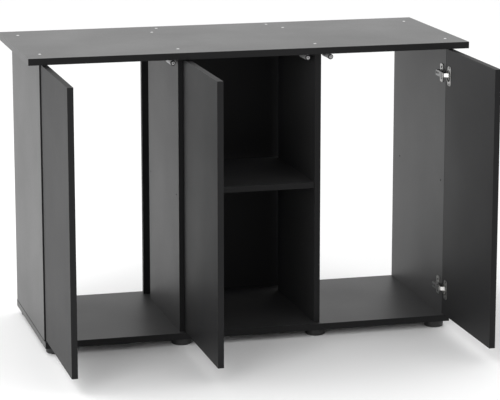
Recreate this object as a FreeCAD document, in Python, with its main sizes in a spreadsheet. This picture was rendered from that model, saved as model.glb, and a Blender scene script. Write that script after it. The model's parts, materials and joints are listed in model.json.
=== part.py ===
import FreeCAD, Part
import math
import os
import re
import Sketcher

# Aquarium stand cabinet with three doors, millimetres, +Z up, drawn with its doors wide open.
# The origin is on the floor, midway between the sides and midway between the open doors'
# free edges and the rear edge of the top. Every y below is counted from the front edges of
# the side panels, and frame_back moves it to the origin.

V = FreeCAD.Vector

# A sketch's rough size before its constraints place it, and the least volume a cut may remove.
ROUGH = 50
LEAST_CUT = 0.5
SAME_LENGTH = 0.01

SIZES = {
    "frame_back": 41.5,
    # boards
    "thick_board": 18,
    "thin_board": 16,
    "top_width": 1210,
    "top_depth": 510,
    "top_front": 40,
    "side_overhang": 35,
    "side_depth": 450,
    "side_height": 752,
    "base_front": 18,
    "base_depth": 474,
    "partition_offset": 190,
    "partition_depth": 372,
    "back_width": 412,
    "back_face": 424,
    "shelf_front": 4,
    "shelf_play": 0.5,
    # feet
    "foot_height": 19,
    "foot_radius": 26.5,
    "foot_inset": 34,
    "foot_round": 3,
    "foot_recess": 7,
    "foot_recess_depth": 9,
    # shelf pegs, heights above the base panel's upper face
    "peg_height": 375,
    "peg_radius": 2.5,
    "peg_depth": 7,
    "peg_reach": 8,
    "peg_front": 29,
    "peg_back": 350,
    "peg_back_side": 388,
    # panel screws
    "screw_radius": 2.5,
    "screw_head": 4,
    "screw_head_depth": 3,
    "screw_length": 50,
    "screw_play": 0.05,
    "screw_front": 34,
    "side_screw_back": 391,
    "partition_screw_back": 358,
    "back_screw_offset": 161,
    "base_screw_front": 62,
    "base_back_screw_offset": 120,
    "foot_screw_bite": 12,
    "hole_spare": 1,
    "small_screw": 1.6,
    "small_head": 3.2,
    "small_head_height": 1,
    "small_bite": 10,
    # doors, and where a door stands when it is open
    "door_width": 377,
    "door_base_gap": 4,
    "door_top_gap": 3.5,
    "open_inset": 3,
    "open_front": 10,
    "hinge_margin": 72,
    # hinge cups
    "cup_radius": 17.5,
    "cup_tab": 3,
    "cup_depth": 12.8,
    "cup_wall": 1,
    "cup_floor": 0.8,
    "cup_play": 0.05,
    "cup_rim": 18.1,
    "flange_sheet": 0.8,
    "flange_half_width": 12,
    "flange_half_length": 26.5,
    "flange_corner": 4,
    "cup_screw_half": 22.5,
    "cup_screw_offset": 6,
    "stud_radius": 1.1,
    "stud_gap": 5.3,
    "stud_length": 8.5,
    # hinge plates
    "plate_sheet": 2.2,
    "plate_front": 14,
    "plate_back": 43,
    "plate_half": 8.5,
    "wing_front": 20,
    "wing_back": 42,
    "wing_half": 25,
    "wing_corner": 3,
    "rail_back": 42,
    "rail_half": 4.8,
    "rail_rise": 3.3,
    "plate_screw_back": 31,
    "plate_screw_half": 16,
    # hinge arms and links
    "pivot_side": 27.88,
    "pivot_front": 10.21,
    "pivot_pin": 0.9,
    "nose_radius": 2,
    "arm_half": 7.8,
    "arm_inner_half": 5.6,
    "arm_nose_half": 6.5,
    "arm_nose_back": 5,
    "arm_sheet": 1.2,
    "arm_rise": 13.88,
    "arm_gap": 0.5,
    "arm_bend_start": 10,
    "arm_bend_end": 22,
    "arm_back": 44,
    "arm_slot": 6,
    "arm_screw_front": 26,
    "arm_screw_back": 38,
    "link_half": 5,
    "link_hole": 0.95,
    "link_eye": 1.6,
    "link_end": 1.4,
    "link_half_sheet": 0.7,
    "knee_side": 26.26,
    "knee_front": 15.58,
    "cup_pin_side": 15.48,
    "cup_pin_front": 20.78,
    # push latches
    "latch_left": -211,
    "latch_middle": 161,
    "latch_right": 225,
    "latch_drop": 14.5,
    "latch_radius": 7.25,
    "latch_front": 1,
    "latch_length": 62,
    "latch_foot_front": 14,
    "latch_foot_back": 60,
    "latch_foot_half": 11,
    "latch_foot_sheet": 2.5,
    "latch_web_half": 4.5,
    "latch_bore": 3.68,
    "latch_bore_depth": 45,
    "latch_mouth": 5,
    "latch_mouth_depth": 4,
    "latch_screw_side": 7.8,
    "latch_screw_head": 2.6,
    "latch_screw_front": 24,
    "latch_screw_back": 50,
    "plunger_tip": 1.7,
    "plunger_head": 4.4,
    "plunger_head_length": 2.2,
    "plunger_stem": 3.6,
    "plunger_stem_length": 39.5,
}

doc = FreeCAD.newDocument("aquarium_stand")
sheet = doc.addObject("Spreadsheet::Sheet", "Sheet")
for row, (alias, number) in enumerate(SIZES.items(), 1):
    sheet.set(f"A{row}", alias)
    sheet.set(f"B{row}", str(number))
    sheet.setAlias(f"B{row}", alias)
doc.recompute()

# Heights and places that several sub-parts share.
BASE_TOP = "(foot_height + thick_board)"
TOP_UNDERSIDE = f"({BASE_TOP} + side_height)"
HALF_CARCASS = "(top_width / 2 - side_overhang)"
DOOR_HEIGHT = "(side_height - door_base_gap - door_top_gap)"
DOOR_MIDDLE = f"({BASE_TOP} + door_base_gap + {DOOR_HEIGHT} / 2)"
HINGE_OFFSET = f"({DOOR_HEIGHT} / 2 - hinge_margin)"
OPEN_FACE = "(open_inset + thin_board)"
CUP_MIDDLE = "-(open_front + cup_tab + cup_radius)"
CUP_SCREW_LINE = f"({CUP_MIDDLE} - cup_screw_offset)"
HOLE = "(screw_radius + screw_play)"
SMALL_HOLE = "(small_screw + screw_play)"
SCREW_BITE = "(screw_length - thick_board + hole_spare)"
SMALL_SHANK = "(small_bite - hole_spare)"

# The uprights' hinge faces: door, plane that its hinge is counted from, face, turned round.
DOORS = {
    "left": (f"-{HALF_CARCASS}", "thin_board", False),
    "middle": ("-partition_offset", "(thin_board / 2)", False),
    "right": (HALF_CARCASS, "thin_board", True),
}
LATCHES = {"left": "latch_left", "middle": "latch_middle", "right": "latch_right"}
LEVELS = {"upper": 1, "lower": -1}

bodies = []


def bind(text):
    """The expression with every driving dimension read from the sheet."""
    return re.sub(r"[a-z_]{3,}", lambda word: f"Sheet.{word.group()}", str(text))


def origin_plane(body, role):
    for feature in body.Origin.OriginFeatures:
        if feature.Role == role:
            return feature
    raise ValueError(role)


def new_body(label, x="0", y="0", z="0", turned=False):
    """An empty body, turned half a turn about its own upright depth axis where asked."""
    body = doc.addObject("PartDesign::Body", label)
    body.Label = label
    body.AllowCompound = True
    body.Placement = FreeCAD.Placement(V(), FreeCAD.Rotation(V(0, 1, 0), 180 if turned else 0))
    for axis, place in zip("xyz", (x, f"{y} - frame_back", z)):
        body.setExpression(f"Placement.Base.{axis}", bind(place))
    bodies.append(body)
    return body


def new_sketch(body, role, level):
    """A sketch parallel to an origin plane, at that coordinate on the third axis."""
    sketch = body.newObject("Sketcher::SketchObject", "Sketch")
    sketch.AttachmentSupport = (origin_plane(body, role), "")
    sketch.MapMode = "FlatFace"
    lift = f"-({level})" if role == "XZ_Plane" else level
    sketch.setExpression("AttachmentOffset.Base.z", bind(lift))
    return sketch


def fix_point(sketch, geometry, point, place):
    for kind, coordinate in zip(("DistanceX", "DistanceY"), place):
        index = sketch.addConstraint(Sketcher.Constraint(kind, -1, 1, geometry, point, 1.0))
        sketch.setExpression(f"Constraints[{index}]", bind(coordinate))


def outline(body, role, level, points):
    """A sketch of one closed outline of straight lines."""
    sketch = new_sketch(body, role, level)
    count = len(points)
    turns = [2 * math.pi * i / count for i in range(count)]
    ring = [V(ROUGH * math.cos(turn), ROUGH * math.sin(turn), 0) for turn in turns]
    for i in range(count):
        sketch.addGeometry(Part.LineSegment(ring[i], ring[(i + 1) % count]), False)
    for i in range(count):
        sketch.addConstraint(Sketcher.Constraint("Coincident", i, 2, (i + 1) % count, 1))
    for i, place in enumerate(points):
        fix_point(sketch, i, 1, place)
    return sketch


def rectangle(body, role, level, low, high):
    corners = [low, (high[0], low[1]), high, (low[0], high[1])]
    return outline(body, role, level, corners)


def circles(body, role, level, centres, radius):
    sketch = new_sketch(body, role, level)
    for i, centre in enumerate(centres):
        sketch.addGeometry(Part.Circle(V(3 * ROUGH * i, 0, 0), V(0, 0, 1), ROUGH), False)
        fix_point(sketch, i, 3, centre)
        index = sketch.addConstraint(Sketcher.Constraint("Radius", i, float(ROUGH)))
        sketch.setExpression(f"Constraints[{index}]", bind(radius))
    return sketch


def pad(body, sketch, length):
    """Material from the sketch towards the positive end of its third axis."""
    feature = body.newObject("PartDesign::Pad", "Pad")
    feature.Profile = sketch
    feature.Reversed = sketch.AttachmentSupport[0][0].Role == "XZ_Plane"
    feature.setExpression("Length", bind(length))


def cut(body, sketch, depth, towards_plus):
    """A pocket from the sketch towards the positive or the negative end of its third axis."""
    feature = body.newObject("PartDesign::Pocket", "Pocket")
    feature.Profile = sketch
    plane_faces_back = sketch.AttachmentSupport[0][0].Role == "XZ_Plane"
    feature.Reversed = towards_plus != plane_faces_back
    feature.setExpression("Length", bind(depth))


def pegs(body, role, level, centres, radius, length):
    pad(body, circles(body, role, level, centres, radius), length)


def holes(body, role, level, centres, radius, depth, towards_plus=False):
    cut(body, circles(body, role, level, centres, radius), depth, towards_plus)


def round_rim(body, radius, size):
    """A fillet on the body's lowest circle of that radius."""
    doc.recompute()
    tip = body.Tip
    rims = []
    for number, edge in enumerate(tip.Shape.Edges, 1):
        if hasattr(edge.Curve, "Radius") and abs(edge.Curve.Radius - SIZES[radius]) < SAME_LENGTH:
            rims.append((edge.BoundBox.ZMax, number))
    feature = body.newObject("PartDesign::Fillet", "Fillet")
    feature.Base = (tip, [f"Edge{min(rims)[1]}"])
    feature.setExpression("Radius", bind(size))


# Where the screws pass through the top and the base, and where the feet stand.
def panel_screws(front, back_offset):
    places = []
    for sign in ("-", ""):
        side = f"{sign}({HALF_CARCASS} - thin_board / 2)"
        places += [(side, front), (side, "side_screw_back")]
        places += [(f"{sign}partition_offset", front), (f"{sign}partition_offset", "partition_screw_back")]
        places += [(f"{sign}{back_offset}", "(back_face + thin_board / 2)")]
    return places


TOP_SCREWS = panel_screws("screw_front", "back_screw_offset")
BASE_SCREWS = panel_screws("base_screw_front", "base_back_screw_offset")
FEET = {}
for across, x in {
    "left": f"-({HALF_CARCASS} - foot_inset)",
    "mid_left": "-partition_offset",
    "mid_right": "partition_offset",
    "right": f"({HALF_CARCASS} - foot_inset)",
}.items():
    FEET[f"{across}_front"] = (x, "(foot_inset - base_front)")
    FEET[f"{across}_rear"] = (x, "(base_depth - base_front - foot_inset)")


def latch_screws(name):
    """Two screws, one on each side of a latch's barrel."""
    front = (f"({LATCHES[name]} - latch_screw_side)", "latch_screw_front")
    back = (f"({LATCHES[name]} + latch_screw_side)", "latch_screw_back")
    return [front, back]


LATCH_SCREWS = [place for name in LATCHES for place in latch_screws(name)]


def top_panel():
    body = new_body("top_panel", z=TOP_UNDERSIDE)
    low = ("-top_width / 2", "-top_front")
    high = ("top_width / 2", "top_depth - top_front")
    pad(body, rectangle(body, "XY_Plane", "0", low, high), "thick_board")
    holes(body, "XY_Plane", "thick_board", TOP_SCREWS, HOLE, "thick_board")
    holes(body, "XY_Plane", "thick_board", TOP_SCREWS, "(screw_head + screw_play)", "screw_head_depth")
    holes(body, "XY_Plane", "0", LATCH_SCREWS, SMALL_HOLE, "small_bite", towards_plus=True)


def base_panel():
    body = new_body("base_panel", z="foot_height")
    low = (f"-{HALF_CARCASS}", "-base_front")
    high = (HALF_CARCASS, "base_depth - base_front")
    pad(body, rectangle(body, "XY_Plane", "0", low, high), "thick_board")
    holes(body, "XY_Plane", "0", BASE_SCREWS, HOLE, "thick_board", towards_plus=True)
    head = "(screw_head + screw_play)"
    holes(body, "XY_Plane", "0", BASE_SCREWS, head, "screw_head_depth", towards_plus=True)
    holes(body, "XY_Plane", "0", FEET.values(), HOLE, "foot_screw_bite + hole_spare", towards_plus=True)


def edge_holes(body, x_and_y, base_x_and_y):
    """Screw holes in an upright board's top and bottom edges."""
    holes(body, "XY_Plane", "side_height", x_and_y, HOLE, SCREW_BITE)
    holes(body, "XY_Plane", "0", base_x_and_y, HOLE, SCREW_BITE, towards_plus=True)


def hinge_screw_rows():
    """Places, as y and z, of one door's plate screws on its upright."""
    rows = []
    for level in LEVELS.values():
        for half in ("-", "+"):
            height = f"{DOOR_MIDDLE} - {BASE_TOP} + {level} * {HINGE_OFFSET}"
            rows.append(("plate_screw_back", f"{height} {half} plate_screw_half"))
    return rows


def side_panel(name, sign):
    """An outer upright. Its local x is zero on its outer face and grows to the right."""
    body = new_body(f"{name}_side_panel", x=f"{sign} * {HALF_CARCASS}", z=BASE_TOP)
    low = (f"(-{sign} - 1) * thin_board / 2", "0")
    high = (f"(1 - {sign}) * thin_board / 2", "side_depth")
    pad(body, rectangle(body, "XY_Plane", "0", low, high), "side_height")
    middle = f"-{sign} * thin_board / 2"
    top_row = [(middle, "screw_front"), (middle, "side_screw_back")]
    base_row = [(middle, "base_screw_front"), (middle, "side_screw_back")]
    edge_holes(body, top_row, base_row)
    inner = f"-{sign} * thin_board"
    shelf_row = [("peg_front", "peg_height"), ("peg_back_side", "peg_height")]
    outwards = sign > 0
    holes(body, "YZ_Plane", inner, shelf_row, "peg_radius", "peg_depth", outwards)
    holes(body, "YZ_Plane", inner, hinge_screw_rows(), SMALL_HOLE, "small_bite", outwards)


def partition(name, sign):
    """An inner upright, centred on its local x."""
    body = new_body(f"{name}_partition", x=f"{sign} * partition_offset", z=BASE_TOP)
    low = ("-thin_board / 2", "0")
    high = ("thin_board / 2", "partition_depth")
    pad(body, rectangle(body, "XY_Plane", "0", low, high), "side_height")
    top_row = [("0", "screw_front"), ("0", "partition_screw_back")]
    base_row = [("0", "base_screw_front"), ("0", "partition_screw_back")]
    edge_holes(body, top_row, base_row)
    shelf_row = [("peg_front", "peg_height"), ("peg_back", "peg_height")]
    holes(body, "YZ_Plane", "thin_board / 2", shelf_row, "peg_radius", "peg_depth")
    holes(body, "YZ_Plane", "-thin_board / 2", shelf_row, "peg_radius", "peg_depth", True)
    if sign < 0:
        holes(body, "YZ_Plane", "thin_board / 2", hinge_screw_rows(), SMALL_HOLE, "small_bite")


def back_panel():
    body = new_body("back_panel", y="back_face", z=BASE_TOP)
    low = ("-back_width / 2", "0")
    high = ("back_width / 2", "thin_board")
    pad(body, rectangle(body, "XY_Plane", "0", low, high), "side_height")
    top_row = [(f"{sign}back_screw_offset", "thin_board / 2") for sign in ("-", "")]
    base_row = [(f"{sign}base_back_screw_offset", "thin_board / 2") for sign in ("-", "")]
    edge_holes(body, top_row, base_row)


def middle_shelf():
    body = new_body("middle_shelf", z=f"{BASE_TOP} + peg_height + peg_radius")
    half = "(partition_offset - thin_board / 2 - shelf_play)"
    low = (f"-{half}", "shelf_front")
    high = (half, "partition_depth")
    pad(body, rectangle(body, "XY_Plane", "0", low, high), "thin_board")


def shelf_pegs():
    """Four pegs in the partitions' inner faces, under the middle shelf."""
    body = new_body("shelf_pegs", z=f"{BASE_TOP} + peg_height")
    length = "(peg_depth + peg_reach)"
    face = "(partition_offset - thin_board / 2)"
    row = [("peg_front", "0"), ("peg_back", "0")]
    for level in (f"-{face} - peg_depth", f"{face} - peg_reach"):
        pegs(body, "YZ_Plane", level, row, "peg_radius - screw_play / 2", length)


def foot(name, place):
    """A round plastic foot with a recess underneath for its screw's head."""
    body = new_body(f"foot_{name}", place[0], place[1])
    centre = [("0", "0")]
    pegs(body, "XY_Plane", "0", centre, "foot_radius", "foot_height")
    round_rim(body, "foot_radius", "foot_round")
    holes(body, "XY_Plane", "0", centre, "foot_recess", "foot_recess_depth", towards_plus=True)
    holes(body, "XY_Plane", "foot_height", centre, HOLE, "foot_height")


def foot_screws():
    body = new_body("foot_screws", z="foot_recess_depth - screw_head_depth")
    places = list(FEET.values())
    pegs(body, "XY_Plane", "0", places, "screw_head", "screw_head_depth")
    shank = "(foot_height - foot_recess_depth + foot_screw_bite)"
    pegs(body, "XY_Plane", "screw_head_depth", places, "screw_radius", shank)


def top_screws():
    """Screws with flat caps, flush with the top's upper face."""
    body = new_body("top_screws", z=f"{TOP_UNDERSIDE} + thick_board - screw_length")
    shank = "(screw_length - screw_head_depth)"
    pegs(body, "XY_Plane", "0", TOP_SCREWS, "screw_radius", shank)
    pegs(body, "XY_Plane", shank, TOP_SCREWS, "screw_head", "screw_head_depth")


def base_screws():
    body = new_body("base_screws", z="foot_height")
    shank = "(screw_length - screw_head_depth)"
    pegs(body, "XY_Plane", "0", BASE_SCREWS, "screw_head", "screw_head_depth")
    pegs(body, "XY_Plane", "screw_head_depth", BASE_SCREWS, "screw_radius", shank)


def door(name, boundary, turned):
    """A flat door in its open place, bored on its inner face for two hinge cups."""
    body = new_body(f"{name}_door", boundary, "0", DOOR_MIDDLE, turned)
    low = ("open_inset", "-open_front - door_width")
    high = (OPEN_FACE, "-open_front")
    slab = rectangle(body, "XY_Plane", f"-{DOOR_HEIGHT} / 2", low, high)
    pad(body, slab, DOOR_HEIGHT)
    cups = [(CUP_MIDDLE, f"{level} * {HINGE_OFFSET}") for level in LEVELS.values()]
    holes(body, "YZ_Plane", OPEN_FACE, cups, "cup_radius", "cup_depth + 2 * cup_play")
    holes(body, "YZ_Plane", OPEN_FACE, door_screw_places(), SMALL_HOLE, "small_bite")


def door_screw_places():
    places = []
    for level in LEVELS.values():
        for half in ("-", "+"):
            places.append((CUP_SCREW_LINE, f"{level} * {HINGE_OFFSET} {half} cup_screw_half"))
    return places


def door_hinge_screws(name, boundary, turned):
    body = new_body(f"{name}_door_hinge_screws", boundary, "0", DOOR_MIDDLE, turned)
    length = f"({SMALL_SHANK} + flange_sheet)"
    pegs(body, "YZ_Plane", f"{OPEN_FACE} - {SMALL_SHANK}", door_screw_places(), "small_screw", length)
    head_face = f"{OPEN_FACE} + flange_sheet"
    pegs(body, "YZ_Plane", head_face, door_screw_places(), "small_head", "small_head_height")


def chamfered(low, high, corner):
    """Eight points of a rectangle with its corners cut off."""
    (x0, y0), (x1, y1) = low, high
    return [
        (f"{x0} + {corner}", y0), (f"{x1} - {corner}", y0),
        (x1, f"{y0} + {corner}"), (x1, f"{y1} - {corner}"),
        (f"{x1} - {corner}", y1), (f"{x0} + {corner}", y1),
        (x0, f"{y1} - {corner}"), (x0, f"{y0} + {corner}"),
    ]


def hinge_cup(label, place):
    """A cup with a flange on the door's inner face and two pivot studs inside."""
    body = new_body(label, *place)
    centre = [(CUP_MIDDLE, "0")]
    pegs(body, "YZ_Plane", f"{OPEN_FACE} - cup_depth", centre, "cup_radius - cup_play", "cup_depth")
    pegs(body, "YZ_Plane", OPEN_FACE, centre, "cup_rim", "flange_sheet")
    low = (f"{CUP_SCREW_LINE} - flange_half_width", "-flange_half_length")
    high = (f"{CUP_SCREW_LINE} + flange_half_width", "flange_half_length")
    corners = chamfered(low, high, "flange_corner")
    pad(body, outline(body, "YZ_Plane", OPEN_FACE, corners), "flange_sheet")
    mouth = f"({OPEN_FACE} + flange_sheet)"
    depth = "(cup_depth - cup_floor + flange_sheet)"
    holes(body, "YZ_Plane", mouth, centre, "cup_radius - cup_wall", depth)
    screws = [(CUP_SCREW_LINE, f"{half}cup_screw_half") for half in ("-", "")]
    holes(body, "YZ_Plane", mouth, screws, SMALL_HOLE, "flange_sheet")
    stud = [("cup_pin_side", "-cup_pin_front")]
    for start in ("stud_gap", "-stud_gap - stud_length"):
        pegs(body, "XY_Plane", start, stud, "stud_radius", "stud_length")


def hinge_plate(label, place, face):
    """A cross-shaped plate on the upright, with a rail for the arm."""
    body = new_body(label, *place)
    front_half = [
        ("plate_front", "plate_half"), ("wing_front", "plate_half"),
        ("wing_front", "wing_half - wing_corner"), ("wing_front + wing_corner", "wing_half"),
        ("wing_back - wing_corner", "wing_half"), ("wing_back", "wing_half - wing_corner"),
        ("wing_back", "plate_half"), ("plate_back", "plate_half"),
    ]
    mirrored = [(y, f"-({z})") for y, z in reversed(front_half)]
    pad(body, outline(body, "YZ_Plane", face, front_half + mirrored), "plate_sheet")
    rail_face = f"({face} + plate_sheet)"
    low = ("plate_front", "-rail_half")
    high = ("rail_back", "rail_half")
    pad(body, rectangle(body, "YZ_Plane", rail_face, low, high), "rail_rise")
    screws = [("plate_screw_back", f"{half}plate_screw_half") for half in ("-", "")]
    holes(body, "YZ_Plane", rail_face, screws, SMALL_HOLE, "plate_sheet")
    arm_screws = [("arm_screw_front", "0"), ("arm_screw_back", "0")]
    holes(body, "YZ_Plane", f"{rail_face} + rail_rise", arm_screws, SMALL_HOLE, "rail_rise")


def hinge_arm(label, place, face):
    """A channel-shaped arm, bent where its upright's face lies back from the pivot."""
    body = new_body(label, *place)
    top = f"({face} + arm_rise)"
    foot_line = f"({face} + plate_sheet + arm_gap)"
    nose_high = "(pivot_side + nose_radius)"
    nose_low = "(pivot_side - nose_radius)"
    shape = [
        (nose_high, "-pivot_front"), (nose_high, "arm_bend_start"), (top, "arm_bend_end"),
        (top, "arm_back"), (f"{top} - arm_slot", "arm_back"), (foot_line, "plate_back"),
        (foot_line, "arm_bend_end"), (nose_low, "arm_bend_start - arm_slot"),
        (nose_low, "-pivot_front"),
    ]
    pad(body, outline(body, "XY_Plane", "-arm_half", shape), "2 * arm_half")
    pivot = [("pivot_side", "-pivot_front")]
    pegs(body, "XY_Plane", "-arm_half", pivot, "nose_radius", "2 * arm_half")
    beyond = f"({nose_high} + arm_slot)"
    channel = [
        (beyond, "-2 * pivot_front"), (beyond, "-arm_slot"),
        (f"{nose_high} - arm_sheet", "-arm_slot"), (f"{nose_high} - arm_sheet", "arm_bend_start"),
        (f"{top} - arm_sheet", "arm_bend_end"), (f"{top} - arm_sheet", "arm_back + arm_slot"),
        (f"{face} - arm_slot", "arm_back + arm_slot"), (f"{face} - arm_slot", "-2 * pivot_front"),
    ]
    cut(body, outline(body, "XY_Plane", "arm_inner_half", channel), "2 * arm_inner_half", False)
    low = (nose_low, "-2 * pivot_front")
    high = (beyond, "arm_nose_back")
    nose_side = "(arm_half - arm_nose_half)"
    for start in ("arm_half", "-arm_nose_half"):
        cut(body, rectangle(body, "XY_Plane", start, low, high), nose_side, False)
    holes(body, "XY_Plane", "arm_half", pivot, "pivot_pin + screw_play / 2", "2 * arm_half")
    arm_screws = [("arm_screw_front", "0"), ("arm_screw_back", "0")]
    holes(body, "YZ_Plane", top, arm_screws, SMALL_HOLE, "arm_sheet + hole_spare")


def bar_corners(start, end, half):
    """The corners of a straight bar between two points, from the sheet's numbers."""
    along = (V(*end, 0) - V(*start, 0)).normalize()
    across = V(-along.y, along.x, 0) * half
    corners = [V(*start, 0) - across, V(*end, 0) - across, V(*end, 0) + across, V(*start, 0) + across]
    return [(f"{corner.x:.4f}", f"{corner.y:.4f}") for corner in corners]


def hinge_link(label, place):
    """A cranked link: an eye on the arm's pin, a knee, and a rolled end at the cup's studs."""
    body = new_body(label, *place)
    names = (("pivot_side", "pivot_front"), ("knee_side", "knee_front"), ("cup_pin_side", "cup_pin_front"))
    route = [(SIZES[side], -SIZES[front]) for side, front in names]
    width = "2 * link_half"
    rounds = ("link_eye", "link_half_sheet", "link_end")
    for (side, front), radius in zip(names, rounds):
        pegs(body, "XY_Plane", "-link_half", [(side, f"-{front}")], radius, width)
    for start, end in zip(route, route[1:]):
        corners = bar_corners(start, end, SIZES["link_half_sheet"])
        pad(body, outline(body, "XY_Plane", "-link_half", corners), width)
    holes(body, "XY_Plane", "link_half", [("pivot_side", "-pivot_front")], "link_hole", width)


def sideways_screws(body, under_head, sign, places, length):
    """Screws along x whose heads stand towards the sign's end."""
    shank_start = f"{under_head} - {length}" if sign > 0 else under_head
    head_start = under_head if sign > 0 else f"{under_head} - small_head_height"
    pegs(body, "YZ_Plane", shank_start, places, "small_screw", length)
    pegs(body, "YZ_Plane", head_start, places, "small_head", "small_head_height")


def hinge_plate_screws():
    """Two screws through each hinge plate into its upright."""
    body = new_body("hinge_plate_screws", z=BASE_TOP)
    for boundary, face, turned in DOORS.values():
        sign = -1 if turned else 1
        plate_face = f"({boundary} + {sign} * ({face} + plate_sheet))"
        sideways_screws(body, plate_face, sign, hinge_screw_rows(), f"({SMALL_SHANK} + plate_sheet)")


def hinge_arm_screws():
    """Two screws through each arm into its plate's rail."""
    body = new_body("hinge_arm_screws", z=DOOR_MIDDLE)
    places = []
    for level in LEVELS.values():
        for back in ("arm_screw_front", "arm_screw_back"):
            places.append((back, f"{level} * {HINGE_OFFSET}"))
    for boundary, face, turned in DOORS.values():
        sign = -1 if turned else 1
        arm_face = f"({boundary} + {sign} * ({face} + arm_rise))"
        sideways_screws(body, arm_face, sign, places, "(arm_rise - plate_sheet)")


def hinge_arm_pins():
    """The pins that the links turn on, through the arms' cheeks."""
    body = new_body("hinge_arm_pins", z=DOOR_MIDDLE)
    places = []
    for boundary, _, turned in DOORS.values():
        sign = -1 if turned else 1
        places.append((f"{boundary} + {sign} * pivot_side", "-pivot_front"))
    for level in LEVELS.values():
        start = f"{level} * {HINGE_OFFSET} - arm_half"
        pegs(body, "XY_Plane", start, places, "pivot_pin", "2 * arm_half")


def latch_housing(name):
    """A barrel that hangs from the top on a web and a foot."""
    body = new_body(f"{name}_latch_housing", LATCHES[name], "0", TOP_UNDERSIDE)
    axis = [("0", "-latch_drop")]
    pegs(body, "XZ_Plane", "latch_front", axis, "latch_radius", "latch_length")
    length = "(latch_foot_back - latch_foot_front)"
    for low, high in (
        (("-latch_web_half", "-latch_drop"), ("latch_web_half", "0")),
        (("-latch_foot_half", "-latch_foot_sheet"), ("latch_foot_half", "0")),
    ):
        pad(body, rectangle(body, "XZ_Plane", "latch_foot_front", low, high), length)
    holes(body, "XZ_Plane", "latch_front", axis, "latch_bore", "latch_bore_depth", True)
    holes(body, "XZ_Plane", "latch_front", axis, "latch_mouth", "latch_mouth_depth", True)
    screws = [("-latch_screw_side", "latch_screw_front"), ("latch_screw_side", "latch_screw_back")]
    holes(body, "XY_Plane", "0", screws, SMALL_HOLE, "latch_foot_sheet")


def latch_plunger(name):
    """A headed plunger that slides in its housing's bore."""
    body = new_body(f"{name}_latch_plunger", LATCHES[name], "-plunger_tip", f"{TOP_UNDERSIDE} - latch_drop")
    axis = [("0", "0")]
    pegs(body, "XZ_Plane", "0", axis, "plunger_head", "plunger_head_length")
    pegs(body, "XZ_Plane", "plunger_head_length", axis, "plunger_stem", "plunger_stem_length")


def latch_screw_group():
    body = new_body("latch_screws", z=f"{TOP_UNDERSIDE} - latch_foot_sheet")
    pegs(body, "XY_Plane", "0", LATCH_SCREWS, "small_screw", f"latch_foot_sheet + {SMALL_SHANK}")
    pegs(body, "XY_Plane", "-small_head_height", LATCH_SCREWS, "latch_screw_head", "small_head_height")


top_panel()
base_panel()
side_panel("left", -1)
side_panel("right", 1)
partition("left", -1)
partition("right", 1)
back_panel()
middle_shelf()
shelf_pegs()
for foot_name, foot_place in FEET.items():
    foot(foot_name, foot_place)
foot_screws()
top_screws()
base_screws()
for door_name, (boundary, face, turned) in DOORS.items():
    door(door_name, boundary, turned)
    door_hinge_screws(door_name, boundary, turned)
    for level_name, level in LEVELS.items():
        label = f"{door_name}_door_{level_name}_hinge"
        place = (boundary, "0", f"{DOOR_MIDDLE} + {level} * {HINGE_OFFSET}", turned)
        hinge_plate(f"{label}_plate", place, face)
        hinge_arm(f"{label}_arm", place, face)
        hinge_link(f"{label}_link", place)
        hinge_cup(f"{label}_cup", place)
hinge_plate_screws()
hinge_arm_screws()
hinge_arm_pins()
for latch_name in LATCHES:
    latch_housing(latch_name)
    latch_plunger(latch_name)
latch_screw_group()

doc.recompute()
for item in doc.Objects:
    if "Invalid" in item.State or "Error" in item.State:
        raise RuntimeError(f"{item.Name} of {item.Label} failed: {item.State}")
    if item.TypeId == "PartDesign::Pocket":
        removed = item.BaseFeature.Shape.Volume - item.Shape.Volume
        if removed < LEAST_CUT:
            raise RuntimeError(f"{item.Name} cuts nothing")
os.makedirs("parts", exist_ok=True)
for body in bodies:
    if body.Shape.isNull() or not body.Shape.isValid():
        raise RuntimeError(f"{body.Label} has no valid shape")
for body in bodies:
    body.Shape.exportStep(f"parts/{body.Label}.step")
    box = body.Shape.BoundBox
    corners = (box.XMin, box.YMin, box.ZMin, box.XMax, box.YMax, box.ZMax)
    print(body.Label, len(body.Shape.Solids), " ".join(f"{value:.1f}" for value in corners))
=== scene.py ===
import json
import math

import bmesh
import bpy
from mathutils import Matrix, Vector


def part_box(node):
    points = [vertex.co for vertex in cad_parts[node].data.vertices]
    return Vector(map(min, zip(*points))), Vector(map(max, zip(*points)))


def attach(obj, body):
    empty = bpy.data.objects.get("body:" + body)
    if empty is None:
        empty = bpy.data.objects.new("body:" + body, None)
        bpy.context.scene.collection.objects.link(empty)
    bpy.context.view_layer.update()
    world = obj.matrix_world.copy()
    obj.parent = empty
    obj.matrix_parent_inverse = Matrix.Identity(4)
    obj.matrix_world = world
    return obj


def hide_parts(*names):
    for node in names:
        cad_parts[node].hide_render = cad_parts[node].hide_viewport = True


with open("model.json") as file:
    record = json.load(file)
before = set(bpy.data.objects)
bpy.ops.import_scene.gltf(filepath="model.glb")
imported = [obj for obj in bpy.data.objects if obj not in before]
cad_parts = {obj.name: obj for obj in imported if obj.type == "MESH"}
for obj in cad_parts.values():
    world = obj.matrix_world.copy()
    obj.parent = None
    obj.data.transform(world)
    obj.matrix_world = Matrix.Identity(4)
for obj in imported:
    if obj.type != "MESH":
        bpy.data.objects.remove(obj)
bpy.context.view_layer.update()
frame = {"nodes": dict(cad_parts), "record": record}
NODES = frame["nodes"]
BODIES = frame["record"]["behaviour"]["bodies"]
BODY_OF = {node: body for body, nodes in BODIES.items() for node in nodes}
SLOT_OF = {row["node"]: row["material_slot"] for row in frame["record"]["subparts"]}

# ---------------------------------------------------------------- camera, floor and light

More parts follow.
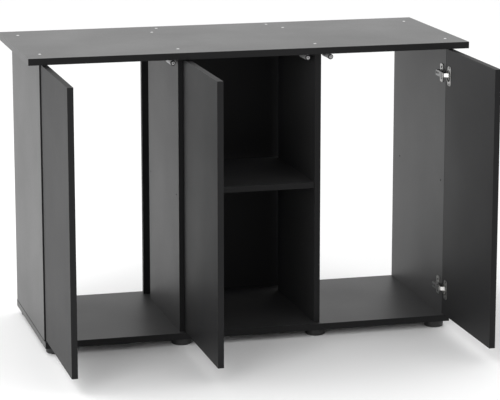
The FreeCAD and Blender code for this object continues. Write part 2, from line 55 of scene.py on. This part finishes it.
# Lengths are metres, angles degrees, lights watts, and the lens and its sensor millimetres.
CAMERA_PLACE = (-1.576, -6.026, 1.731)
CAMERA_YAW = 14.75
CAMERA_PITCH = 12.21
CAMERA_LENS = 168.4
SENSOR_WIDTH = 36
FARTHEST_SEEN = 100
FLOOR_SIZE = 40.0
WORLD_STRENGTH = 1.0
OBJECT_MIDDLE = (0, 0, 0.5)
KEY_LIGHT = {"place": (-3.0, 1.0, 4.0), "size": (3.0, 2.0), "power": 60}
FILL_LIGHT = {"place": (-4.5, -5.0, 2.2), "size": (3.0, 3.0), "power": 150}


def add_camera():
    data = bpy.data.cameras.new("camera")
    data.lens = CAMERA_LENS
    data.sensor_width = SENSOR_WIDTH
    data.clip_end = FARTHEST_SEEN
    camera = bpy.data.objects.new("camera", data)
    camera.location = CAMERA_PLACE
    camera.rotation_euler = (math.radians(90 - CAMERA_PITCH), 0, -math.radians(CAMERA_YAW))
    bpy.context.scene.collection.objects.link(camera)
    bpy.context.scene.camera = camera


def add_area_light(name, place, size, power):
    """A soft light that shines at the middle of the object."""
    data = bpy.data.lights.new(name, "AREA")
    data.shape = "RECTANGLE"
    data.size, data.size_y = size
    data.energy = power
    light = bpy.data.objects.new(name, data)
    light.location = place
    aim = Vector(OBJECT_MIDDLE) - Vector(place)
    light.rotation_euler = aim.to_track_quat("-Z", "Y").to_euler()
    bpy.context.scene.collection.objects.link(light)


def add_world(strength):
    bpy.context.scene.view_settings.view_transform = "Standard"
    world = bpy.data.worlds.new("studio")
    bpy.context.scene.world = world
    world.use_nodes = True
    background = world.node_tree.nodes["Background"]
    background.inputs["Color"].default_value = (1.0, 1.0, 1.0, 1.0)
    background.inputs["Strength"].default_value = strength


def link_mesh(name, bm, materials):
    mesh = bpy.data.meshes.new(name)
    bm.to_mesh(mesh)
    bm.free()
    piece = bpy.data.objects.new(name, mesh)
    for material in materials:
        mesh.materials.append(material)
    bpy.context.scene.collection.objects.link(piece)
    return piece


def add_floor(material):
    bm = bmesh.new()
    bmesh.ops.create_grid(bm, x_segments=2, y_segments=2, size=FLOOR_SIZE / 2)
    link_mesh("floor", bm, [material])


# ---------------------------------------------------------------- materials


class Shader:
    """A material with one principled shader and short ways to add nodes."""

    def __init__(self, name, **constants):
        self.material = bpy.data.materials.new(name)
        self.material.use_nodes = True
        self.tree = self.material.node_tree
        self.shader = self.tree.nodes["Principled BSDF"]
        for socket, value in constants.items():
            self.shader.inputs[socket.replace("_", " ")].default_value = value
        self.place = self.node("ShaderNodeTexCoord").outputs["Object"]

    def node(self, kind, **settings):
        node = self.tree.nodes.new(kind)
        for key, value in settings.items():
            setattr(node, key, value)
        return node

    def wire(self, source, socket):
        self.tree.links.new(source, socket)

    def noise(self, scale, detail=4.0, roughness=0.6, stretch=(1, 1, 1)):
        mapping = self.node("ShaderNodeMapping")
        mapping.inputs["Scale"].default_value = stretch
        self.wire(self.place, mapping.inputs["Vector"])
        noise = self.node("ShaderNodeTexNoise")
        noise.inputs["Scale"].default_value = scale
        noise.inputs["Detail"].default_value = detail
        noise.inputs["Roughness"].default_value = roughness
        self.wire(mapping.outputs["Vector"], noise.inputs["Vector"])
        return noise.outputs["Fac"]

    def ramp(self, source, low, high, start=0.3, end=0.7):
        """A remap of a 0..1 value to low..high."""
        remap = self.node("ShaderNodeMapRange")
        for socket, value in zip(("From Min", "From Max", "To Min", "To Max"), (start, end, low, high)):
            remap.inputs[socket].default_value = value
        self.wire(source, remap.inputs["Value"])
        return remap.outputs["Result"]

    def blend(self, factor, dark, light):
        """A colour between two, each a colour or a socket."""
        mix = self.node("ShaderNodeMix", data_type="RGBA")
        self.wire(factor, mix.inputs["Factor"])
        for socket, colour in ((mix.inputs[6], dark), (mix.inputs[7], light)):
            if isinstance(colour, tuple):
                socket.default_value = (*colour, 1.0)
            else:
                self.wire(colour, socket)
        return mix.outputs[2]

    def math(self, operation, first, second):
        node = self.node("ShaderNodeMath", operation=operation)
        for socket, value in zip(node.inputs, (first, second)):
            if isinstance(value, (int, float)):
                socket.default_value = value
            else:
                self.wire(value, socket)
        return node.outputs[0]

    def bump(self, height, strength, distance, under=None):
        bump = self.node("ShaderNodeBump")
        bump.inputs["Strength"].default_value = strength
        bump.inputs["Distance"].default_value = distance
        self.wire(height, bump.inputs["Height"])
        if under is not None:
            self.wire(under, bump.inputs["Normal"])
        return bump.outputs["Normal"]

    def edge_wear(self, radius, low=0.02, high=0.12):
        """Near 1 along sharp outer edges: how far a rounded normal leans from the true one."""
        bevel = self.node("ShaderNodeBevel", samples=4)
        bevel.inputs["Radius"].default_value = radius
        geometry = self.node("ShaderNodeNewGeometry")
        dot = self.node("ShaderNodeVectorMath", operation="DOT_PRODUCT")
        self.wire(bevel.outputs["Normal"], dot.inputs[0])
        self.wire(geometry.outputs["Normal"], dot.inputs[1])
        lean = self.math("SUBTRACT", 1.0, dot.outputs["Value"])
        return self.ramp(lean, 0.0, 1.0, low, high)

    def level_line(self, height, width):
        """1 on a narrow level line at a height, 0 elsewhere."""
        split = self.node("ShaderNodeSeparateXYZ")
        self.wire(self.place, split.inputs["Vector"])
        off = self.math("ABSOLUTE", self.math("SUBTRACT", split.outputs["Z"], height), 0.0)
        return self.math("LESS_THAN", off, width / 2)


def shaded(tone, factor):
    return tuple(min(1.0, part * factor) for part in tone)


# Painted shade along the joint between a side panel and the end of the base panel: a thin line with no
# reflection, standing in for the shadow in the seam.
JOINT_SHADE_WIDTH = 0.0026


def board_material(name, tone, gloss, roughness, edge_tone, joint_height=None):
    """Dark melamine-faced board, or its edge band: fine pearl texture and faint tone drift.

    With a joint height, a line of painted shade, with its reflection taken away, marks where one board
    stands on another.
    """
    make = Shader(name, Specular_IOR_Level=gloss)
    drift = make.noise(3.0, 5.0, 0.6)
    speck = make.noise(900.0, 3.0, 0.7)
    faint = make.ramp(drift, 0.85, 1.15)
    dots = make.ramp(speck, 0.8, 1.3)
    tint = make.blend(make.math("MULTIPLY", faint, 0.5), shaded(tone, 0.8), shaded(tone, 1.3))
    dotted = make.blend(make.math("MULTIPLY", dots, 0.5), tint, shaded(tone, 1.7))
    worn = make.blend(make.math("MULTIPLY", make.edge_wear(0.0007), 0.5), dotted, edge_tone)
    make.wire(worn, make.shader.inputs["Base Color"])
    smears = make.ramp(drift, roughness - 0.03, roughness + 0.03)
    rough = make.math("ADD", smears, make.ramp(speck, -0.03, 0.05))
    make.wire(rough, make.shader.inputs["Roughness"])
    if joint_height is not None:
        # Painted shade: the reflection is taken away on a thin line at the joint, so it reads as the shadow
        # in the seam.
        line = make.level_line(joint_height, JOINT_SHADE_WIDTH)
        make.wire(make.ramp(line, gloss, 0.0, 0.0, 1.0), make.shader.inputs["Specular IOR Level"])
    pearl = make.noise(1400.0, 2.0, 0.6)
    waves = make.noise(60.0, 2.0, 0.5)
    fine = make.bump(pearl, 0.25, 0.00006)
    make.wire(make.bump(waves, 0.12, 0.0002, fine), make.shader.inputs["Normal"])
    return make.material


def plastic_material(name, tone, roughness):
    """Moulded plastic: a spark-eroded grain and slight patches of sheen."""
    make = Shader(name, Specular_IOR_Level=0.45)
    patch = make.noise(25.0, 4.0)
    scuff = make.noise(220.0, 6.0, 0.7)
    shade = make.blend(patch, shaded(tone, 0.85), shaded(tone, 1.1))
    worn = make.blend(make.math("MULTIPLY", make.edge_wear(0.0005), 0.3), shade, shaded(tone, 1.8))
    make.wire(worn, make.shader.inputs["Base Color"])
    make.wire(make.ramp(scuff, roughness - 0.07, roughness + 0.1), make.shader.inputs["Roughness"])
    make.wire(make.bump(make.noise(1600.0, 2.0), 0.3, 0.00005), make.shader.inputs["Normal"])
    return make.material


def metal_material(name, tone, roughness, stretch):
    """Plated sheet steel: fine rolling lines, dull patches and brighter rubbed edges."""
    make = Shader(name, Metallic=1.0)
    lines = make.noise(700.0, 4.0, 0.7, stretch)
    patch = make.noise(60.0, 5.0)
    shade = make.blend(patch, shaded(tone, 0.82), tone)
    worn = make.blend(make.edge_wear(0.0004), shade, shaded(tone, 1.15))
    make.wire(worn, make.shader.inputs["Base Color"])
    drawn = make.ramp(lines, roughness - 0.05, roughness + 0.08)
    rough = make.math("ADD", drawn, make.ramp(patch, -0.03, 0.04))
    make.wire(rough, make.shader.inputs["Roughness"])
    make.wire(make.bump(lines, 0.15, 0.00003), make.shader.inputs["Normal"])
    return make.material


def floor_material():
    make = Shader("pale_floor", Specular_IOR_Level=0.1, Roughness=0.9)
    shade = make.blend(make.noise(0.8, 3.0), (0.965, 0.965, 0.965), (0.985, 0.985, 0.985))
    make.wire(shade, make.shader.inputs["Base Color"])
    return make.material


BASE_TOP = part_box("base_panel")[1].z
OUTER_TONE = (0.011, 0.011, 0.011)
BAND_TONE = (0.006, 0.006, 0.0063)
WORN_FACE = (0.04, 0.04, 0.04)
WORN_BAND = (0.03, 0.03, 0.03)
# Painted light: the faces inside the bays take a lighter base colour than the outer faces of the same
# board, to lift the shade inside the cabinet.
CARCASS = board_material("anthracite_board_lifted_for_shade", (0.027, 0.027, 0.0275), 0.35, 0.45, WORN_FACE)
TOP = board_material("anthracite_top_board", OUTER_TONE, 0.5, 0.33, WORN_FACE)
SIDE = board_material("anthracite_side_board", OUTER_TONE, 0.395, 0.35, WORN_FACE, BASE_TOP)
BACK = board_material("anthracite_back_board", (0.009, 0.009, 0.0095), 0.1, 0.5, WORN_BAND)
CARCASS_BAND = board_material("anthracite_edge_band", BAND_TONE, 0.15, 0.5, WORN_BAND)
DOOR = board_material("anthracite_door_board", (0.007, 0.007, 0.0075), 0.25, 0.5, WORN_FACE)
DOOR_BAND = board_material("anthracite_door_band", BAND_TONE, 0.15, 0.5, WORN_BAND)
FOOT = plastic_material("black_foot_plastic", (0.012, 0.012, 0.012), 0.45)
CAP = plastic_material("grey_cap_plastic", (0.9, 0.9, 0.9), 0.4)
LATCH = plastic_material("white_latch_plastic", (0.8, 0.8, 0.8), 0.35)
LATCH_RIM = plastic_material("dark_latch_rim", (0.02, 0.02, 0.02), 0.4)
PLUNGER = plastic_material("pale_plunger_plastic", (0.7, 0.7, 0.7), 0.3)
NICKEL = metal_material("nickel_plate", (0.42, 0.42, 0.41), 0.3, (1, 8, 1))
BRIGHT = metal_material("polished_link", (0.93, 0.92, 0.9), 0.22, (1, 8, 1))
ARM = metal_material("pressed_arm", (0.27, 0.27, 0.27), 0.35, (1, 8, 1))
ZINC = metal_material("zinc_plate", (0.5, 0.5, 0.51), 0.3, (4, 4, 1))
DARK_ZINC = metal_material("dark_zinc_plate", (0.09, 0.09, 0.09), 0.35, (4, 4, 1))
# Painted shade: the walls of each cross drive take this near-black metal, darker than the screw's own
# plating, standing in for the shade in the recess.
DRIVE_SHADE = metal_material("drive_recess_painted_shade", (0.05, 0.05, 0.05), 0.5, (4, 4, 1))

SLOT_MATERIALS = {
    "carcass_board": CARCASS,
    "door_board": DOOR,
    "foot_plastic": FOOT,
    "screw_cap": CAP,
    "latch_grey": LATCH,
    "plunger_plastic": PLUNGER,
    "nickel_steel": NICKEL,
    "zinc_steel": ZINC,
}
# A face counts as facing an axis when its normal has at least this much of it.
BROAD_FACE = 0.7
FACE_INDEX, BAND_INDEX, OUTER_INDEX = 0, 1, 2
BOARD_ROUND, METAL_ROUND = 0.0006, 0.0002
ROUNDED_ABOVE = 60


def face_index(name, normal, thin, middle):
    """Which of a board's materials a face takes: edge band, outer face or plain face."""
    if name in ("top_panel", "base_panel") and abs(normal.x) > BROAD_FACE:
        return OUTER_INDEX
    if abs(normal[thin]) < BROAD_FACE:
        return BAND_INDEX
    if name == "top_panel" or name.endswith("side_panel") and normal.x * middle.x > 0:
        return OUTER_INDEX
    return FACE_INDEX


def dress_board(name, node, face_material, band_material):
    outer_material = TOP if name == "top_panel" else SIDE
    for material in (face_material, band_material, outer_material):
        node.data.materials.append(material)
    lowest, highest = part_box(name)
    size = highest - lowest
    thin = min(range(3), key=lambda axis: size[axis])
    for face in node.data.polygons:
        face.material_index = face_index(name, face.normal, thin, (lowest + highest) / 2)


def dress_nodes():
    for name, node in NODES.items():
        node.data.materials.clear()
        slot = SLOT_OF[name]
        if slot == "carcass_board":
            dress_board(name, node, BACK if name == "back_panel" else CARCASS, CARCASS_BAND)
        elif slot == "door_board":
            dress_board(name, node, DOOR, DOOR_BAND)
        elif name.endswith("_link"):
            node.data.materials.append(BRIGHT)
        elif name.endswith("_arm"):
            node.data.materials.append(ARM)
        else:
            node.data.materials.append(SLOT_MATERIALS[slot])


def soften(names, width, segments=2):
    """A small round on the sharp edges of CAD nodes, which catches the light."""
    for name in names:
        bevel = NODES[name].modifiers.new("edge_round", "BEVEL")
        bevel.width = width
        bevel.segments = segments
        bevel.limit_method = "ANGLE"
        bevel.angle_limit = math.radians(ROUNDED_ABOVE)
        bevel.harden_normals = True


def in_slot(*slots):
    return [name for name, slot in SLOT_OF.items() if slot in slots]


# ---------------------------------------------------------------- pieces

ROUND_STEPS = 32
SHARP_EDGE = 50


def lathe(bm, profile, place, axis, indices=None):
    """A closed round solid: (radius, height along the axis) points from tip to tip."""
    turn = Vector((0, 0, 1)).rotation_difference(Vector(axis)).to_matrix().to_4x4()
    matrix = Matrix.Translation(place) @ turn
    rings = []
    for radius, height in profile:
        if radius == 0:
            rings.append([bm.verts.new(matrix @ Vector((0, 0, height)))])
            continue
        angles = [2 * math.pi * i / ROUND_STEPS for i in range(ROUND_STEPS)]
        rings.append([
            bm.verts.new(matrix @ Vector((radius * math.cos(angle), radius * math.sin(angle), height)))
            for angle in angles
        ])
    for row, (first, second) in enumerate(zip(rings, rings[1:])):
        for i in range(ROUND_STEPS):
            j = (i + 1) % ROUND_STEPS
            near = [first[i % len(first)], first[j % len(first)]]
            far = [second[j % len(second)], second[i % len(second)]]
            face = bm.faces.new(list(dict.fromkeys(near + far)))
            face.smooth = True
            face.material_index = indices[row] if indices else 0


def rounded_box(bm, low, high, radius):
    """A box with rounded edges."""
    made = bmesh.ops.create_cube(bm, size=1.0)
    size = Vector(high) - Vector(low)
    middle = (Vector(high) + Vector(low)) / 2
    for vert in made["verts"]:
        vert.co = Vector([vert.co[i] * size[i] for i in range(3)]) + middle
    edges = list({edge for vert in made["verts"] for edge in vert.link_edges})
    result = bmesh.ops.bevel(bm, geom=edges, offset=radius, segments=3, affect="EDGES", profile=0.5)
    for face in result["faces"]:
        face.smooth = True


def finish_piece(name, bm, materials, node):
    """The mesh as a piece that stands for a CAD node and rides on its body."""
    bmesh.ops.recalc_face_normals(bm, faces=bm.faces)
    piece = link_mesh(name, bm, materials)
    smooth = piece.modifiers.new("sharp_edges", "EDGE_SPLIT")
    smooth.split_angle = math.radians(SHARP_EDGE)
    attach(piece, BODY_OF[node])
    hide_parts(node)
    return piece


def node_islands(name):
    """The separate solids of a CAD node: each one's lowest and highest corners."""
    mesh = NODES[name].data
    bm = bmesh.new()
    bm.from_mesh(mesh)
    bmesh.ops.remove_doubles(bm, verts=bm.verts, dist=1e-6)
    left = set(bm.verts)
    boxes = []
    while left:
        stack = [left.pop()]
        found = []
        while stack:
            vert = stack.pop()
            found.append(vert.co.copy())
            for edge in vert.link_edges:
                other = edge.other_vert(vert)
                if other in left:
                    left.remove(other)
                    stack.append(other)
        low = Vector([min(co[i] for co in found) for i in range(3)])
        high = Vector([max(co[i] for co in found) for i in range(3)])
        boxes.append((low, high))
    bm.free()
    return sorted(boxes, key=lambda box: tuple(box[0]))


# The cross drive: its length and width as shares of the head's radius, its depth as a share of
# the head's height, and how much wider it is at its top and narrower at its floor.
CROSS_LENGTH = 1.25
CROSS_WIDTH = 0.26
CROSS_DEPTH = 0.7
CROSS_TOP_TAPER, CROSS_FLOOR_TAPER = 1.1, 0.65


def cross_cutter(head_radius, head_height, length):
    """Two tapered bars that cross in the head of a screw that stands on its tip."""
    bm = bmesh.new()
    reach = head_radius * CROSS_LENGTH / 2
    half = head_radius * CROSS_WIDTH / 2
    top = (length + head_height, CROSS_TOP_TAPER)
    floor = (length - head_height * CROSS_DEPTH, CROSS_FLOOR_TAPER)
    for turned in (False, True):
        rings = []
        for height, taper in (top, floor):
            ring = []
            for a, b in ((-1, -1), (1, -1), (1, 1), (-1, 1)):
                x, y = a * reach * taper, b * half
                ring.append(bm.verts.new((y, x, height) if turned else (x, y, height)))
            rings.append(ring)
        high, low = rings
        sides = [[high[k], high[(k + 1) % 4], low[(k + 1) % 4], low[k]] for k in range(4)]
        # The cutter's faces take the second material, which the cut leaves on the drive's walls as painted
        # shade.
        for corners in (high, low, *sides):
            bm.faces.new(corners).material_index = 1
    bmesh.ops.recalc_face_normals(bm, faces=bm.faces)
    return bm


def screw_mesh(name, length, head_radius, head_height, shank_radius, material):
    """A domed screw with a cross drive, tip at the origin and head towards +Z."""
    neck = length - head_height
    profile = [
        (0, 0), (shank_radius * 0.5, shank_radius * 0.8), (shank_radius, shank_radius * 2),
        (shank_radius, neck), (head_radius, neck), (head_radius, neck + head_height * 0.35),
        (head_radius * 0.88, neck + head_height * 0.7), (head_radius * 0.66, length), (0, length),
    ]
    bm = bmesh.new()
    lathe(bm, profile, (0, 0, 0), (0, 0, 1))
    bmesh.ops.recalc_face_normals(bm, faces=bm.faces)
    materials = [material, DRIVE_SHADE]
    blank = link_mesh(name + "_blank", bm, materials)
    cutter = link_mesh(name + "_cutter", cross_cutter(head_radius, head_height, length), materials)
    cut = blank.modifiers.new("drive", "BOOLEAN")
    cut.operation = "DIFFERENCE"
    cut.solver = "EXACT"
    cut.object = cutter
    bpy.context.view_layer.update()
    made = bpy.data.meshes.new_from_object(blank.evaluated_get(bpy.context.evaluated_depsgraph_get()))
    for helper in (blank, cutter):
        bpy.data.objects.remove(helper)
    return made


def add_screws(node, axis_of, head_height, shank_radius, material):
    """One piece with a real screw in the place of each solid of a screw node."""
    bm = bmesh.new()
    mesh = None
    for low, high in node_islands(node):
        axis = Vector(axis_of((low + high) / 2))
        size = high - low
        length = abs(size.dot(axis))
        if mesh is None:
            head_radius = (sum(size) - length) / 4
            mesh = screw_mesh(node, length, head_radius, head_height, shank_radius, material)
        tip = (low + high) / 2 - axis * (length / 2)
        turn = Vector((0, 0, 1)).rotation_difference(axis).to_matrix().to_4x4()
        placed = mesh.copy()
        placed.transform(Matrix.Translation(tip) @ turn)
        bm.from_mesh(placed)
    return finish_piece(node + "_cross_drive", bm, [material, DRIVE_SHADE], node)


def towards_bay(middle):
    """Hinge screws point into their door's bay: away from the wall that the hinge is on."""
    return (-1, 0, 0) if middle.x > 0 else (1, 0, 0)


def downwards(middle):
    return (0, 0, -1)


SMALL_HEAD_HEIGHT, SMALL_SHANK = 0.001, 0.0016
LARGE_HEAD_HEIGHT, LARGE_SHANK = 0.003, 0.0025
SCREW_NODES = {
    "hinge_arm_screws": (towards_bay, SMALL_HEAD_HEIGHT, SMALL_SHANK, DARK_ZINC),
    "hinge_plate_screws": (towards_bay, SMALL_HEAD_HEIGHT, SMALL_SHANK, DARK_ZINC),
    "left_door_hinge_screws": (towards_bay, SMALL_HEAD_HEIGHT, SMALL_SHANK, DARK_ZINC),
    "middle_door_hinge_screws": (towards_bay, SMALL_HEAD_HEIGHT, SMALL_SHANK, DARK_ZINC),
    "right_door_hinge_screws": (towards_bay, SMALL_HEAD_HEIGHT, SMALL_SHANK, DARK_ZINC),
    "latch_screws": (downwards, SMALL_HEAD_HEIGHT, SMALL_SHANK, ZINC),
    "foot_screws": (downwards, LARGE_HEAD_HEIGHT, LARGE_SHANK, ZINC),
    "base_screws": (downwards, LARGE_HEAD_HEIGHT, LARGE_SHANK, ZINC),
}


def mm(*values):
    return tuple(value / 1000 for value in values)


def add_top_caps():
    """The capped screws in the top: a low dome with a fine step around it over each shank."""
    bm = bmesh.new()
    for low, high in node_islands("top_screws"):
        middle = (low + high) / 2
        radius = (high.x - low.x) / 2
        length = high.z - low.z
        profile = [
            (0, 0), (LARGE_SHANK * 0.5, LARGE_SHANK), (LARGE_SHANK, LARGE_SHANK * 2),
            (LARGE_SHANK, length - LARGE_HEAD_HEIGHT), (radius, length - LARGE_HEAD_HEIGHT),
            (radius, length), (radius * 0.96, length + 0.0002), (radius * 0.82, length + 0.00035),
            (radius * 0.8, length + 0.0002), (radius * 0.74, length + 0.0002),
            (radius * 0.7, length + 0.0004), (radius * 0.35, length + 0.00055), (0, length + 0.0006),
        ]
        lathe(bm, profile, (middle.x, middle.y, low.z), (0, 0, 1))
    finish_piece("top_screw_caps", bm, [CAP], "top_screws")


# Latches, in millimetres from the latch's front: the barrel and the web and plate that hold it.
LATCH_RADIUS = 7.25
WEB_START, WEB_END = 13, 59
WEB_HALF, WEB_ROUND = 4.5, 0.4
PLATE_THICKNESS, PLATE_ROUND = 2.5, 0.8
DARK_BARREL_ROWS = 11
DARK_PLUNGER_ROWS = 3


def dark_first(profile, rows):
    """Material indices along a profile: its first rows take the second material."""
    return [1 if row < rows else 0 for row in range(len(profile) - 1)]


def add_latch_housing(housing):
    """A ringed barrel, open at the front for the plunger, on a web and a screwed plate."""
    low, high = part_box(housing)
    x = (low.x + high.x) / 2
    z = low.z + LATCH_RADIUS / 1000
    barrel = [
        (0, 45), (3.68, 45), (3.68, 4), (5.0, 4), (5.0, 0.5), (5.4, 0), (6.5, 0), (7.05, 0.25), (7.25, 0.8),
        (7.25, 3.0), (6.9, 3.2), (6.9, 3.8), (7.25, 4.0), (7.25, 56), (6.9, 56.3), (6.9, 57), (7.25, 57.3),
        (7.25, 60.8), (6.6, 61.7), (5.4, 62), (0, 62),
    ]
    outline = [mm(*point) for point in barrel]
    bm = bmesh.new()
    lathe(bm, outline, (x, low.y, z), (0, 1, 0), dark_first(barrel, DARK_BARREL_ROWS))
    front, back, half, web_round = mm(WEB_START, WEB_END, WEB_HALF, WEB_ROUND)
    thickness, plate_round = mm(PLATE_THICKNESS, PLATE_ROUND)
    front, back = low.y + front, low.y + back
    rounded_box(bm, (x - half, front, z), (x + half, back, high.z), web_round)
    rounded_box(bm, (low.x, front, high.z - thickness), (high.x, back, high.z), plate_round)
    finish_piece(housing + "_barrel", bm, [LATCH, LATCH_RIM], housing)


def add_latch_plunger(plunger):
    """The plunger: a rounded head with a dark recess, and its stem in the barrel."""
    low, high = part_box(plunger)
    middle = (low + high) / 2
    head = [
        (0, 1.0), (1.5, 1.0), (1.7, 0.3), (2.1, 0), (3.6, 0), (4.15, 0.25), (4.4, 0.8), (4.4, 1.9),
        (4.1, 2.2), (3.6, 2.2), (3.6, 41.2), (3.2, 41.7), (0, 41.7),
    ]
    place = (middle.x, low.y, middle.z)
    bm = bmesh.new()
    lathe(bm, [mm(*point) for point in head], place, (0, 1, 0), dark_first(head, DARK_PLUNGER_ROWS))
    finish_piece(plunger + "_tip", bm, [PLUNGER, LATCH_RIM], plunger)


def add_foot(node):
    """A turned foot with a rounded lower rim, a fine groove and a recess for its screw."""
    low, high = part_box(node)
    middle = (low + high) / 2
    profile = [
        (0, 9), (7, 9), (7, 0.5), (7.5, 0), (23.5, 0), (24.65, 0.25), (25.6, 0.9), (26.25, 1.85),
        (26.5, 3), (26.5, 14.6), (26.0, 14.9), (26.0, 15.6), (26.5, 15.9), (26.5, 18.4), (26.2, 18.8),
        (25.6, 19), (0, 19),
    ]
    bm = bmesh.new()
    lathe(bm, [mm(*point) for point in profile], (middle.x, middle.y, low.z), (0, 0, 1))
    finish_piece(node + "_turned", bm, [FOOT], node)


def add_pegs():
    bm = bmesh.new()
    for low, high in node_islands("shelf_pegs"):
        middle = (low + high) / 2
        radius = (high.z - low.z) / 2
        length = high.x - low.x
        profile = [
            (0, 0), (radius * 0.8, 0), (radius, radius * 0.2), (radius, length - radius * 0.2),
            (radius * 0.8, length), (0, length),
        ]
        lathe(bm, profile, (low.x, middle.y, middle.z), (1, 0, 0))
    finish_piece("shelf_peg_pins", bm, [ZINC], "shelf_pegs")


add_camera()
add_world(WORLD_STRENGTH)
add_floor(floor_material())
add_area_light("key", **KEY_LIGHT)
add_area_light("fill", **FILL_LIGHT)
dress_nodes()
soften(in_slot("carcass_board", "door_board"), BOARD_ROUND)
soften(in_slot("nickel_steel"), METAL_ROUND, 1)
for screw_node, screw_facts in SCREW_NODES.items():
    add_screws(screw_node, *screw_facts)
add_top_caps()
add_pegs()
for door_name in ("left", "middle", "right"):
    add_latch_housing(door_name + "_latch_housing")
    add_latch_plunger(door_name + "_latch_plunger")
for foot_node in in_slot("foot_plastic"):
    add_foot(foot_node)
